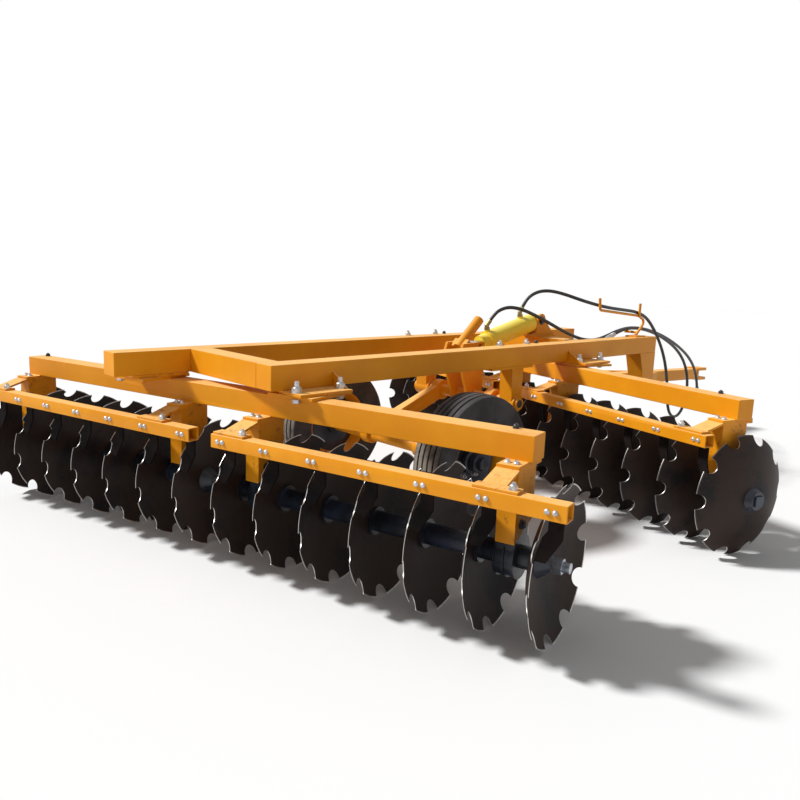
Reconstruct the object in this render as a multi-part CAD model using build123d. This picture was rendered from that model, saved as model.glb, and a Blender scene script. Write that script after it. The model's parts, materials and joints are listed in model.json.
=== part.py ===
from build123d import *
import os
from math import atan2, cos, degrees, hypot, pi, radians, sin, sqrt, tan

# Trailed offset disc harrow, millimetres.  +X runs forward to the hitch, +Y to the left, +Z up.
# The finished part is moved so that its origin lies on the ground under the middle of its box.

# Clearances
slip = 0.5            # shaft in a bore, on the radius
running = 6.0         # a scraper's edge from its disc, a wheel's hub from its axle
rod_slip = 0.4        # piston rod in its gland
leg_side = 5.0        # drawbar's cross tube between the front legs, at each end
eye_side = 5.0        # an eye between its two plates, on each side
lever_play = 11.0     # rod pin in the lever's hole, which takes up the drift of the opened linkage
pin_proud = 12.0      # pins and shafts past their plates

# Discs and gangs
disc_diameter = 604.0
disc_thickness = 6.0
disc_dish = 80.0
disc_edge = 2.0
disc_pitch = 240.0
discs_per_gang = 7
hub_flat_radius = 76.0
notch_count = 10
notch_radius = 38.0
notch_depth = 44.0
rear_notch_turn = 9.0     # a notch past the lowest point, in degrees
front_notch_turn = 18.0
gang_bolt_diameter = 40.0
spool_diameter = 87.0
spool_flange_diameter = 118.0
spool_flange = 12.0
cone_diameter = 128.0
cone_length = 46.0
nut_size = 62.0
nut_length = 40.0
stud_length = 28.0
dome_diameter = 118.0
dome_face = 90.0
dome_length = 30.0
bolt_head = 50.0
bolt_head_length = 9.0

# Rows: where each axle crosses the centre line, its angle, and the shift of its middle to the left
rear_row_x = 0.0
front_row_x = 2346.0
rear_angle = 14.7
front_angle = 15.7
rear_shift = -83.0
front_shift = -126.0

# Gang beams, hangers and bearings.  A rise is a height above the discs' axle.
beam_width = 106.0
beam_height = 98.0
beam_rise = 374.0
beam_inset = 60.0
beam_lead = 48.0      # beam from the middle of the discs' rims, towards their bulge
pad_thickness = 12.0
pad_width = 90.0
pad_rear = 135.0
pad_front = 78.0
hanger_offset = 170.0
hanger_plate = 12.0
hanger_leg_width = 74.0
hanger_leg_rear = 120.0
hanger_leg_front = 48.0
hanger_rear_rise = 82.0
hanger_front_rise = 143.0
hanger_wall = 8.0
hanger_foot = 10.0
base_plate = 10.0
base_plate_short = 60.0
base_plate_long = 105.0
base_plate_inset = 4.0
bearing_offset = 18.0
bearing_width = 80.0
bearing_radius = 80.0
bearing_rib = 6.0
bearing_seat_rear = 70.0

# Scraper bars and scrapers
bar_size = 60.0
bar_wall = 5.0
bar_rear = 300.0      # rear face of the bar behind the axle
bar_rise = 323.0
bar_overhang = 54.0
rear_scraper_offset = 53.0
front_scraper_offset = 35.0
scraper_thickness = 8.0
scraper_width = 52.0
scraper_rise = 95.0

# Main frame
rail_width = 115.0
rail_height = 112.0
rail_gap = 572.0      # clear width between the rails
clamp_plate = 14.0
clamp_short = 55.0    # plate's end nearer to the gang beam
clamp_long = 232.0
clamp_out = 130.0     # plate past the rail's outer face
gusset_thickness = 12.0
gusset_height = 65.0
gusset_reach = 100.0
right_rail_rear = -25.0
left_rail_rear = -410.0
front_overhang = 974.0
leg_top_length = 215.0
leg_bottom_length = 100.0
leg_below_hinge = 48.0
hinge_drop = 252.0    # drawbar's hinge below the rails

# Lift: rock shaft, arms, axle and wheels
rock_x = 1710.0
rock_drop = 223.0     # rock shaft below the rails
rock_diameter = 70.0
rock_bush_diameter = 94.0
rock_plate_rear = 255.0
rock_plate_front = 125.0
rock_plate = 14.0
rock_hanger_width = 88.0
rock_hanger_top = 108.0
rock_hanger_bottom = 88.0
arm_reach = 598.0
axle_diameter = 70.0
arm_height = 90.0
arm_width = 60.0
arm_y = 215.0
axle_boss_diameter = 108.0
rock_boss_diameter = 126.0
wheel_y = 579.0
tyre_diameter = 722.0
tyre_width = 178.0
tyre_crown = 6.0
tyre_shoulder = 34.0
tyre_edge_drop = 26.0
tyre_edge = 10.0
tyre_bead = 18.0
tyre_bead_side = 6.0
rim_diameter = 424.0
rim_width = 130.0
rim_wall = 7.0
rim_disc = 10.0
rim_dish = 38.0
hub_diameter = 130.0
hub_length = 120.0
stub_diameter = 50.0
stub_proud = 24.0

# Lift cylinder and lever
cylinder_reach = 687.0  # front pin ahead of the rock shaft
bracket_pin_rise = 108.0  # front pin above the rails
lever_ahead = 32.0
lever_rise = 293.0
cylinder_pin = 32.0
barrel_diameter = 118.0
barrel_neck = 36.0
barrel_cap = 40.0
gland_diameter = 98.0
gland_length = 60.0
rod_diameter = 50.0
rod_exposed = 78.0    # gland face to rod pin
rod_inside = 330.0
eye_diameter = 74.0
eye_width = 50.0
lever_plate = 18.0
lever_gap = 110.0
lever_waist = 130.0
lever_lip = 8.0
lock_diameter = 62.0
lock_length = 250.0
lock_angle = 42.0     # forward lean from the horizontal
lock_back = 128.0     # foot of the lock tube behind the rod pin
bracket_plate = 16.0
bracket_ahead = 150.0  # base plate ahead of the pin
bracket_behind = 100.0
bracket_base = 12.0
bracket_ear = 46.0
bracket_step = 18.0
cross_width = 120.0

# Ports, hoses and the bent rod that holds them up
front_port = 170.0    # ports behind the front pin
rear_port = 512.0
port_diameter = 40.0
port_height = 8.0
port_nut = 36.0
port_nut_height = 16.0
ferrule_diameter = 28.0
ferrule_length = 40.0
elbow_height = 12.0
hose_diameter = 22.0
corner_share = 0.45   # part of the shorter run that a hose's corner takes up
hose_first_run = 50.0
coupler_diameter = 34.0
coupler_length = 70.0
coupler_nose_diameter = 26.0
coupler_nose = 34.0
rest_diameter = 18.0
rest_bend = 26.0
rest_weld = 4.0       # depth of a welded rod in its neighbour
rest_foot = 170.0     # foot of the rod behind the rails' front end
rest_inset = 18.0     # rod left of the rail's middle line
rest_stem_ahead = 67.0  # places of the rod's bends ahead of its foot, and above the rail
rest_stem_rise = 60.0
rest_hook_ahead = 115.0
rest_hook_rise = 109.0
rest_bend_ahead = 22.0
rest_rise = 147.0
rest_length = 521.0
rest_slope = 47.0
rest_prong = 79.0
rest_prong_lean = 13.0
rest_plate_length = 130.0
rest_plate_width = 84.0
rest_plate = 8.0
rest_peg = 104.0
rest_peg_ahead = 34.0
rest_peg_rise = 28.0

# Drawbar
hinge_diameter = 50.0
drawbar_tube_diameter = 90.0
tongue_width = 100.0
tongue_height = 90.0
tongue_length = 1570.0
drawbar_droop = 2.3   # degrees below the horizontal
brace_height = 80.0
brace_width = 60.0
brace_reach = 820.0
clevis_length = 170.0
clevis_plate = 25.0
clevis_gap = 60.0
clevis_width = 110.0
hitch_pin_bore = 36.0

# Derived places
disc_radius = disc_diameter / 2
axle_z = disc_radius
wheel_radius = tyre_diameter / 2
beam_bottom = axle_z + beam_rise
beam_top = beam_bottom + beam_height
bar_top = axle_z + bar_rise
scraper_bottom = axle_z + scraper_rise
rail_bottom = beam_top + 2 * clamp_plate
rail_top = rail_bottom + rail_height
rail_y = (rail_gap + rail_width) / 2
rail_face = rail_y + rail_width / 2
rail_front = front_row_x + front_overhang
hanger_top = beam_bottom - pad_thickness
rock_z = rail_bottom - rock_drop
axle_x = rock_x - arm_reach
hinge_x = rail_front - leg_bottom_length / 2
hinge_z = rail_bottom - hinge_drop
drawbar_place = Pos(hinge_x, 0, hinge_z) * Rot(0, drawbar_droop, 0)
bracket_pin_x = rock_x + cylinder_reach
bracket_pin_z = rail_top + bracket_pin_rise
lever_pin_x = rock_x + lever_ahead
lever_pin_z = rock_z + lever_rise
cross_x = bracket_pin_x + (bracket_ahead - bracket_behind) / 2
cylinder_slope = degrees(atan2(bracket_pin_z - lever_pin_z, bracket_pin_x - lever_pin_x))
cylinder_length = hypot(bracket_pin_z - lever_pin_z, bracket_pin_x - lever_pin_x)
barrel_length = cylinder_length - rod_exposed
rear_row = Pos(rear_row_x, 0, 0) * Rot(0, 0, rear_angle)
front_row = Pos(front_row_x, 0, 0) * Rot(0, 0, -front_angle)


def box(x0, x1, y0, y1, z0, z1):
    return Pos((x0 + x1) / 2, (y0 + y1) / 2, (z0 + z1) / 2) * Box(abs(x1 - x0), abs(y1 - y0), abs(z1 - z0))


def along_x(radius, x0, x1):
    return Pos(x0, 0, 0) * Rot(0, 90, 0) * Cylinder(radius, x1 - x0, align=(Align.CENTER, Align.CENTER, Align.MIN))


def along_y(radius, y0, y1, x=0.0, z=0.0):
    return Pos(x, (y0 + y1) / 2, z) * Rot(90, 0, 0) * Cylinder(radius, abs(y1 - y0))


def cone_y(radius0, radius1, y0, y1, z=0.0):
    profile = Polyline((0, y0), (radius0, y0), (radius1, y1), (0, y1), close=True)
    return Pos(0, 0, z) * revolve(make_face(profile), Axis.Y)


def plate_xz(points, y0, y1):
    face = make_face(Polyline(*[(x, y0, z) for x, z in points], close=True))
    return extrude(face, amount=y1 - y0, dir=(0, 1, 0))


def pipe_along(path, radius):
    return sweep(Plane(path @ 0, z_dir=path % 0) * Circle(radius), path=path)


def dish_height(radius, top):
    # Height over the rim of a sphere through the rim and the edge of the flat hub.
    centre = (hub_flat_radius ** 2 + top ** 2 - disc_radius ** 2) / (2 * top)
    return centre + sqrt(disc_radius ** 2 + centre ** 2 - radius ** 2)


def disc_solid(notch_turn):
    # The rim lies in y = 0 and the disc bulges towards +Y.
    inner = disc_dish - disc_thickness
    middle = (hub_flat_radius + disc_radius) / 2
    hollow = ThreePointArc((hub_flat_radius, inner), (middle, dish_height(middle, inner)), (disc_radius, 0))
    bulge = ThreePointArc(
        (disc_radius, disc_edge),
        (middle, dish_height(middle, inner) + disc_thickness),
        (hub_flat_radius, disc_dish),
    )
    bore = gang_bolt_diameter / 2 + slip
    outline = [
        Line((bore, inner), (hub_flat_radius, inner)),
        hollow,
        Line((disc_radius, 0), (disc_radius, disc_edge)),
        bulge,
        Line((hub_flat_radius, disc_dish), (bore, disc_dish)),
        Line((bore, disc_dish), (bore, inner)),
    ]
    disc = revolve(make_face(outline), Axis.Y)
    seat = disc_radius - notch_depth + notch_radius
    reach = 2 * notch_radius
    slot = along_y(notch_radius, -disc_dish, disc_dish, seat)
    slot += box(seat, seat + reach, -disc_dish, disc_dish, -notch_radius, notch_radius)
    step = 360 / notch_count
    for index in range(notch_count):
        disc -= Rot(0, index * step + 90 + notch_turn, 0) * slot
    return disc


def disc_places(shift):
    middle = discs_per_gang - 0.5
    return [shift + (index - middle) * disc_pitch for index in range(2 * discs_per_gang)]


def gang_pieces(places, side):
    # side is +1 where the discs bulge to the left and -1 where they bulge to the right.
    turn = Rot(0, 0, 0) if side > 0 else Rot(0, 0, 180)
    lift = Pos(0, 0, axle_z)
    one_disc = turn * disc_solid(rear_notch_turn if side > 0 else front_notch_turn)
    discs = [lift * Pos(0, place, 0) * one_disc for place in places]

    inner = disc_dish - disc_thickness
    spool_length = disc_pitch - disc_thickness
    bore = gang_bolt_diameter / 2 + slip
    spool = along_y(spool_diameter / 2, 0, spool_length)
    spool += along_y(spool_flange_diameter / 2, 0, spool_flange)
    spool += along_y(spool_flange_diameter / 2, spool_length - spool_flange, spool_length)
    spool -= along_y(bore, 0, spool_length)
    starts = [place + (disc_dish if side > 0 else -inner) for place in places[:-1]]
    spools = [lift * Pos(0, start, 0) * spool for start in starts]

    # End pieces, written for a gang that bulges to the left: cone and nut right, dome and head left.
    first = places[0] if side > 0 else -places[-1]
    last = places[-1] if side > 0 else -places[0]
    cone = cone_y(nut_size / 2, cone_diameter / 2, first + inner - cone_length, first + inner)
    cone -= along_y(bore, first + inner - cone_length, first + inner)
    dome = cone_y(dome_diameter / 2, dome_face / 2, last + disc_dish, last + disc_dish + dome_length)
    dome -= along_y(bore, last + disc_dish, last + disc_dish + dome_length)
    washers = [lift * turn * piece for piece in (cone, dome)]

    nut_face = first + inner - cone_length
    head_face = last + disc_dish + dome_length
    shaft = along_y(gang_bolt_diameter / 2, nut_face - nut_length - stud_length, head_face)
    nut = Pos(0, nut_face, 0) * Rot(90, 0, 0) * extrude(RegularPolygon(nut_size / 2, 6), nut_length)
    head = box(-bolt_head / 2, bolt_head / 2, head_face, head_face + bolt_head_length, -bolt_head / 2, bolt_head / 2)
    bolt = lift * turn * (shaft + nut + head)
    return discs, spools + washers, bolt


def hanger_places(places, side):
    offset = hanger_offset if side > 0 else disc_pitch - hanger_offset
    last_bay = discs_per_gang - 2
    bays = [0, last_bay, discs_per_gang, discs_per_gang + last_bay]
    return [places[bay] + offset for bay in bays]


def gang_beam(places, stations, side):
    start = places[0] + side * beam_lead + beam_inset
    end = places[-1] + side * beam_lead - beam_inset
    beam = box(-beam_width / 2, beam_width / 2, start, end, beam_bottom, beam_top)
    for y in stations:
        beam += box(-pad_rear, pad_front, y - pad_width / 2, y + pad_width / 2, hanger_top, beam_bottom)
    return beam


def hanger_slope(x, level=0.0):
    # Height of the channel's sloping lower edge.
    share = (x + hanger_leg_rear) / (hanger_leg_front + hanger_leg_rear)
    return axle_z + hanger_rear_rise + share * (hanger_front_rise - hanger_rear_rise) + level


def hanger(y, side):
    # A channel, open to the front, under a cap plate, with an arm back to the scraper bar.
    half = hanger_leg_width / 2
    top = hanger_top - hanger_plate
    rear = -hanger_leg_rear
    front = hanger_leg_front
    cap = box(-pad_rear, pad_front, y - pad_width / 2, y + pad_width / 2, top, hanger_top)
    seat = bar_top + base_plate
    bar_back = -bar_rear + base_plate_inset
    bar_front = -bar_rear + bar_size
    arm_points = [
        (-pad_rear, hanger_top),
        (-pad_rear, top),
        (bar_front, bar_top),
        (bar_back, bar_top),
        (bar_back, seat),
        (bar_front, seat),
    ]
    arm = plate_xz(arm_points, y - pad_width / 2, y + pad_width / 2)
    base = box(bar_back, bar_front, y - side * base_plate_long, y + side * base_plate_short, bar_top, seat)
    web_points = [
        (rear, hanger_slope(rear)),
        (rear, top),
        (rear + hanger_wall, top),
        (rear + hanger_wall, hanger_slope(rear + hanger_wall)),
    ]
    foot_points = [
        (rear, hanger_slope(rear)),
        (front, hanger_slope(front)),
        (front, hanger_slope(front, hanger_foot)),
        (rear, hanger_slope(rear, hanger_foot)),
    ]
    cheek_points = [(rear, hanger_slope(rear)), (rear, top), (front, top), (front, hanger_slope(front))]
    leg = cap + arm + base + plate_xz(web_points, y - half, y + half) + plate_xz(foot_points, y - half, y + half)
    leg += plate_xz(cheek_points, y - half, y - half + hanger_wall)
    leg += plate_xz(cheek_points, y + half - hanger_wall, y + half)
    return leg


def bearing(y):
    half = bearing_width / 2
    seat_points = [
        (-bearing_seat_rear, axle_z),
        (hanger_leg_front, axle_z),
        (hanger_leg_front, hanger_slope(hanger_leg_front)),
        (-bearing_seat_rear, hanger_slope(-bearing_seat_rear)),
    ]
    body = along_y(bearing_radius, y - half, y + half, 0, axle_z) + plate_xz(seat_points, y - half, y + half)
    for place in (-half, -bearing_rib / 2, half - bearing_rib):
        body += along_y(bearing_radius + bearing_rib, y + place, y + place + bearing_rib, 0, axle_z)
    return body - along_y(spool_diameter / 2 + slip, y - half, y + half, 0, axle_z)


def scraper_bars(places, offset):
    bars = []
    for first in (0, discs_per_gang):
        start = places[first] + offset - bar_overhang
        end = places[first + discs_per_gang - 1] + offset + bar_overhang
        outer = box(-bar_rear, -bar_rear + bar_size, start, end, bar_top - bar_size, bar_top)
        hollow = box(
            -bar_rear + bar_wall,
            -bar_rear + bar_size - bar_wall,
            start,
            end,
            bar_top - bar_size + bar_wall,
            bar_top - bar_wall,
        )
        bars.append(outer - hollow)
    return bars


def scraper(place, offset, side):
    # A flat blade on the front face of the bar, cut to follow the hollow of its disc.
    back = bar_rear - bar_size

    def edge(z):
        radius = min(hypot(back, z - axle_z), disc_radius)
        return dish_height(radius, disc_dish - disc_thickness) - 1.5 * running

    reach = abs(offset)
    low = scraper_bottom
    rim = axle_z + sqrt(disc_radius ** 2 - back ** 2)
    middle = (scraper_bottom + rim) / 2
    outline = [
        (-reach - scraper_width / 2, bar_top),
        (-reach + scraper_width / 2, bar_top),
        (-reach + scraper_width / 2, rim + scraper_width / 2),
        (edge(rim), rim),
        (edge(middle), middle),
        (edge(low), low),
        (-scraper_width / 2, low),
        (-reach - scraper_width / 2, rim),
    ]
    points = [(-back, place + side * y, z) for y, z in outline]
    face = make_face(Polyline(*points, close=True))
    return extrude(face, amount=scraper_thickness, dir=(1, 0, 0))


def row_pieces(shift, side, offset):
    places = disc_places(shift)
    stations = hanger_places(places, side)
    gangs = [gang_pieces(places[:discs_per_gang], side), gang_pieces(places[discs_per_gang:], side)]
    return {
        "gangs": gangs,
        "beam": gang_beam(places, stations, side),
        "hangers": [hanger(y, side) for y in stations],
        "bearings": [bearing(y + side * bearing_offset) for y in stations],
        "bars": scraper_bars(places, -side * offset),
        "scrapers": [scraper(place, offset, side) for place in places],
    }


def rail(side, rear):
    y = side * rail_y
    return box(rear, rail_front, y - rail_width / 2, y + rail_width / 2, rail_bottom, rail_top)


def cross_member(x, length=rail_width):
    return box(x - length / 2, x + length / 2, -rail_gap / 2, rail_gap / 2, rail_bottom, rail_top)


def front_leg(side):
    y = side * rail_y
    leg_bottom = hinge_z - leg_below_hinge
    points = [
        (rail_front - leg_top_length, rail_bottom),
        (rail_front, rail_bottom),
        (rail_front, leg_bottom),
        (rail_front - leg_bottom_length, leg_bottom),
    ]
    leg = plate_xz(points, y - rail_width / 2, y + rail_width / 2)
    return leg - along_y(hinge_diameter / 2 + slip, y - rail_width, y + rail_width, hinge_x, hinge_z)


def clamp(row_x, angle, side, ahead, upper):
    # Two plates where a gang beam passes under a rail: the upper is square to the rail, the lower to the beam.
    x = row_x - side * rail_y * tan(radians(angle))
    rear_end, front_end = (x - clamp_short, x + clamp_long) if ahead else (x - clamp_long, x + clamp_short)
    inner = side * rail_gap / 2
    outer = side * (rail_face + clamp_out)
    low = beam_top + (clamp_plate if upper else 0)
    if not upper:
        length = clamp_short + clamp_long
        plate = box(-length / 2, length / 2, (inner - outer) / 2, (outer - inner) / 2, low, low + clamp_plate)
        return Pos((rear_end + front_end) / 2, (inner + outer) / 2, 0) * Rot(0, 0, angle) * plate
    plate = box(rear_end, front_end, inner, outer, low, low + clamp_plate)
    face = side * rail_face
    foot = front_end - gusset_thickness if row_x == rear_row_x else rear_end
    outline = Polyline(
        (foot, face, rail_bottom),
        (foot, face + side * gusset_reach, rail_bottom),
        (foot, face, rail_bottom + gusset_height),
        close=True,
    )
    return plate + extrude(make_face(outline), amount=gusset_thickness, dir=(1, 0, 0))


def rock_hanger(side):
    y = side * rail_y
    half = rail_width / 2
    plate_low = rail_bottom - rock_plate
    plate = box(rock_x - rock_plate_rear, rock_x + rock_plate_front, y - half, y + half, plate_low, rail_bottom)
    points = [
        (rock_x - rock_hanger_top / 2, plate_low),
        (rock_x + rock_hanger_top / 2, plate_low),
        (rock_x + rock_hanger_bottom / 2, rock_z),
        (rock_x - rock_hanger_bottom / 2, rock_z),
    ]
    body = plate + plate_xz(points, y - rock_hanger_width / 2, y + rock_hanger_width / 2)
    body += along_y(rock_bush_diameter / 2, y - half, y + half, rock_x, rock_z)
    return body - along_y(rock_diameter / 2 + slip, y - rail_width, y + rail_width, rock_x, rock_z)


def wheel_arm(side):
    slope = degrees(atan2(rock_z - wheel_radius, rock_x - axle_x))
    length = hypot(rock_z - wheel_radius, rock_x - axle_x)
    y = side * arm_y
    arm = Pos(axle_x, y, wheel_radius) * Rot(0, -slope, 0) * Pos(length / 2, 0, 0) * Box(length, arm_width, arm_height)
    arm += along_y(axle_boss_diameter / 2, y - arm_width / 2, y + arm_width / 2, axle_x, wheel_radius)
    arm += along_y(rock_boss_diameter / 2, y - arm_width / 2, y + arm_width / 2, rock_x, rock_z)
    arm -= along_y(axle_diameter / 2 + slip, y - arm_width, y + arm_width, axle_x, wheel_radius)
    return arm - along_y(rock_diameter / 2 + slip, y - arm_width, y + arm_width, rock_x, rock_z)


def axle():
    inner = wheel_y - hub_length / 2 - running
    tube = along_y(axle_diameter / 2, -inner, inner, axle_x, wheel_radius)
    outer = wheel_y + hub_length / 2 + stub_proud
    return tube + along_y(stub_diameter / 2, -outer, outer, axle_x, wheel_radius)


def tyre(side):
    half = tyre_width / 2
    seat = rim_width / 2
    inner = rim_diameter / 2
    middle = (inner + wheel_radius) / 2
    flank = [
        (inner, seat),
        (inner + tyre_bead, half - tyre_bead_side),
        (middle, half),
        (wheel_radius - tyre_edge_drop, half - tyre_edge),
        (wheel_radius - tyre_crown, half - tyre_shoulder),
    ]
    outline = flank + [(wheel_radius, 0)] + [(radius, -y) for radius, y in reversed(flank)]
    body = revolve(make_face(Polyline(*outline, close=True)), Axis.Y)
    return Pos(axle_x, side * wheel_y, wheel_radius) * body


def rim(side):
    seat = rim_width / 2
    outer = rim_diameter / 2
    ring = along_y(outer, -seat, seat) - along_y(outer - rim_wall, -seat, seat)
    web = along_y(outer - rim_wall, rim_dish - rim_disc, rim_dish)
    hub = along_y(hub_diameter / 2, -hub_length / 2, hub_length / 2)
    wheel = ring + web + hub - along_y(stub_diameter / 2 + slip, -hub_length, hub_length)
    turn = Rot(0, 0, 0) if side < 0 else Rot(0, 0, 180)
    return Pos(axle_x, side * wheel_y, wheel_radius) * turn * wheel


def lever():
    half = lever_waist / 2
    foot = lever_pin_x - lock_back
    points = [
        (rock_x - half, rock_z),
        (foot - lock_diameter, lever_pin_z - lock_diameter),
        (foot - lock_diameter / 2, lever_pin_z + lock_diameter / 2),
        (lever_pin_x + eye_diameter / 2, lever_pin_z + eye_diameter / 2),
        (lever_pin_x + eye_diameter / 2 + lever_lip, lever_pin_z - eye_diameter / 2),
        (rock_x + half, rock_z),
    ]
    plates = []
    for side in (-1, 1):
        inner = side * lever_gap / 2
        outer = side * (lever_gap / 2 + lever_plate)
        low, high = min(inner, outer), max(inner, outer)
        plate = plate_xz(points, low, high) + along_y(half, low, high, rock_x, rock_z)
        plate -= along_y(rock_diameter / 2 + slip, low, high, rock_x, rock_z)
        plates.append(plate - along_y(cylinder_pin / 2 + lever_play, low, high, lever_pin_x, lever_pin_z))
    return plates


def lock_tube():
    foot = Pos(lever_pin_x - lock_back, 0, lever_pin_z) * Rot(0, 90 - lock_angle, 0)
    tube = Cylinder(lock_diameter / 2, lock_length, align=(Align.CENTER, Align.CENTER, Align.MIN))
    lug = Pos(0, 0, lock_diameter / 2) * Box(lock_diameter / 2, lever_gap, lock_diameter)
    return foot * (tube + lug)


def cylinder_bracket():
    # Two round-topped plates on the cross member, with the pin of the cylinder's front eye between them.
    rear_end = bracket_pin_x - bracket_behind
    front_end = bracket_pin_x + bracket_ahead
    base_top = rail_top + bracket_base
    points = [
        (rear_end, base_top),
        (front_end, base_top),
        (bracket_pin_x + bracket_ear, bracket_pin_z),
        (bracket_pin_x - bracket_ear, bracket_pin_z),
        (bracket_pin_x - bracket_ear, base_top + bracket_step),
    ]
    inner = eye_width / 2 + eye_side
    outer = inner + bracket_plate
    body = box(rear_end, front_end, -outer - bracket_plate, outer + bracket_plate, rail_top, base_top)
    for low, high in ((-outer, -inner), (inner, outer)):
        body += plate_xz(points, low, high) + along_y(bracket_ear, low, high, bracket_pin_x, bracket_pin_z)
    return body + along_y(cylinder_pin / 2, -outer - pin_proud, outer + pin_proud, bracket_pin_x, bracket_pin_z)


def cylinder_frame():
    # Local +X runs from the front pin towards the rod, and local -Z is the barrel's upper side.
    return Pos(bracket_pin_x, 0, bracket_pin_z) * Rot(0, 180 - cylinder_slope, 0)


def barrel():
    start = eye_diameter / 2 + barrel_neck
    tube_end = barrel_length - gland_length
    body = along_x(barrel_diameter / 2, start, tube_end) + along_x(gland_diameter / 2, tube_end, barrel_length)
    body += along_y(eye_diameter / 2, -eye_width / 2, eye_width / 2)
    body += box(0, start, -eye_width / 2, eye_width / 2, -eye_diameter / 2, eye_diameter / 2)
    port_top = barrel_diameter / 2 + port_height
    for port in (front_port, rear_port):
        body += Pos(port, 0, -port_top / 2) * Cylinder(port_diameter / 2, port_top)
    body -= along_y(cylinder_pin / 2 + slip, -eye_width, eye_width)
    return cylinder_frame() * (body - along_x(rod_diameter / 2 + rod_slip, start + barrel_cap, barrel_length))


def rod():
    start = barrel_length - rod_inside
    shaft = along_x(rod_diameter / 2, start, cylinder_length)
    half = lever_gap / 2 - eye_side
    eye = Pos(cylinder_length, 0, 0) * along_y(eye_diameter / 2, -half, half)
    reach = lever_gap / 2 + lever_plate + pin_proud
    pin = Pos(cylinder_length, 0, 0) * along_y(cylinder_pin / 2, -reach, reach)
    return cylinder_frame() * (shaft + eye + pin)


def elbow_centre(port):
    rise = barrel_diameter / 2 + port_height + port_nut_height + elbow_height
    return (cylinder_frame() * Pos(port, 0, -rise)).position


def port_fitting(port, exit_way):
    # A nut on the port, a short stem, and a ferrule that points along the hose's first run.
    top = barrel_diameter / 2 + port_height
    nut = Pos(port, 0, -top - port_nut_height) * extrude(RegularPolygon(port_nut / 2, 6), port_nut_height)
    stem_height = port_nut_height + elbow_height
    stem = Pos(port, 0, -top - stem_height / 2) * Cylinder(ferrule_diameter / 2, stem_height)
    centre = elbow_centre(port)
    ferrule = Plane(centre, z_dir=exit_way) * Cylinder(
        ferrule_diameter / 2, ferrule_length, align=(Align.CENTER, Align.CENTER, Align.MIN)
    )
    knuckle = Pos(centre) * Sphere(ferrule_diameter / 2)
    return cylinder_frame() * (nut + stem) + ferrule + knuckle


def hose_path(points):
    # Straight runs joined by tangent arcs, each as large as its two runs allow.
    radii = []
    for before, corner, after in zip(points, points[1:], points[2:]):
        run_in = Vector(corner) - Vector(before)
        run_out = Vector(after) - Vector(corner)
        turn = radians(run_in.get_angle(run_out))
        radii.append(corner_share * min(run_in.length, run_out.length) / tan(turn / 2))
    return FilletPolyline(*points, radius=radii), radii


def coupler(points):
    # A quick coupler on the end of a hose, in line with its last run.
    way = Vector(points[-1]) - Vector(points[-2])
    stand = (Align.CENTER, Align.CENTER, Align.MIN)
    body = Cylinder(coupler_diameter / 2, coupler_length, align=stand)
    body += Pos(0, 0, coupler_length) * Cylinder(coupler_nose_diameter / 2, coupler_nose, align=stand)
    return Plane(points[-1], z_dir=way) * body


def hose_rest():
    # A rod bent up from a small plate on the right rail, back along the hose, and up at its end.
    y = rest_inset - rail_y
    foot_x = rail_front - rest_foot
    bend_x = foot_x + rest_bend_ahead
    top = rail_top + rest_rise
    end_x = bend_x - rest_length
    points = [
        (foot_x, y, rail_top + rest_plate),
        (foot_x + rest_stem_ahead, y, rail_top + rest_stem_rise),
        (foot_x + rest_hook_ahead, y, rail_top + rest_hook_rise),
        (bend_x, y, top),
        (end_x, y, top + rest_slope),
        (end_x - rest_prong_lean, y, top + rest_slope + rest_prong),
    ]
    body = pipe_along(FilletPolyline(*points, radius=rest_bend), rest_diameter / 2)
    plate_half = rest_plate_length / 2
    plate_y = rest_plate_width / 2
    body += box(foot_x - plate_half, foot_x + plate_half, y - plate_y, y + plate_y, rail_top, rail_top + rest_plate)
    prong = Cylinder(rest_diameter / 2, rest_prong + rest_diameter, align=(Align.CENTER, Align.CENTER, Align.MIN))
    body += Pos(bend_x - rest_diameter, y - rest_diameter + rest_weld, top - rest_diameter / 2) * prong
    return body + along_y(rest_diameter / 2, y, y + rest_peg, foot_x + rest_peg_ahead, rail_top + rest_peg_rise)


def drawbar_cross_tube():
    reach = rail_gap / 2 - leg_side
    pin_reach = rail_face + pin_proud
    tube = along_y(drawbar_tube_diameter / 2, -reach, reach)
    return drawbar_place * (tube + along_y(hinge_diameter / 2, -pin_reach, pin_reach))


def tongue():
    half = tongue_width / 2
    bar = box(0, tongue_length, -half, half, -tongue_height / 2, tongue_height / 2)
    return drawbar_place * (bar - along_y(drawbar_tube_diameter / 2, -tongue_width, tongue_width))


def drawbar_brace(side):
    # A flat strut from the outer end of the cross tube to the side of the tongue.
    outer = side * (rail_gap / 2 - leg_side)
    half = side * tongue_width / 2
    outline = [(0, outer), (0, outer - side * brace_width), (brace_reach - 2 * brace_width, half), (brace_reach, half)]
    face = make_face(Polyline(*[(x, y, -brace_height / 2) for x, y in outline], close=True))
    strut = extrude(face, amount=brace_height, dir=(0, 0, 1))
    return drawbar_place * (strut - along_y(drawbar_tube_diameter / 2, -rail_gap, rail_gap))


def hitch():
    half = clevis_width / 2
    outer = clevis_gap / 2 + clevis_plate
    back = tongue_length + clevis_plate
    front_end = tongue_length + clevis_length
    body = box(tongue_length, back, -half, half, -outer, outer)
    body += box(back, front_end, -half, half, -outer, -clevis_gap / 2)
    body += box(back, front_end, -half, half, clevis_gap / 2, outer)
    return drawbar_place * (body - Pos(front_end - half, 0, 0) * Cylinder(hitch_pin_bore / 2, 4 * outer))


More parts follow.
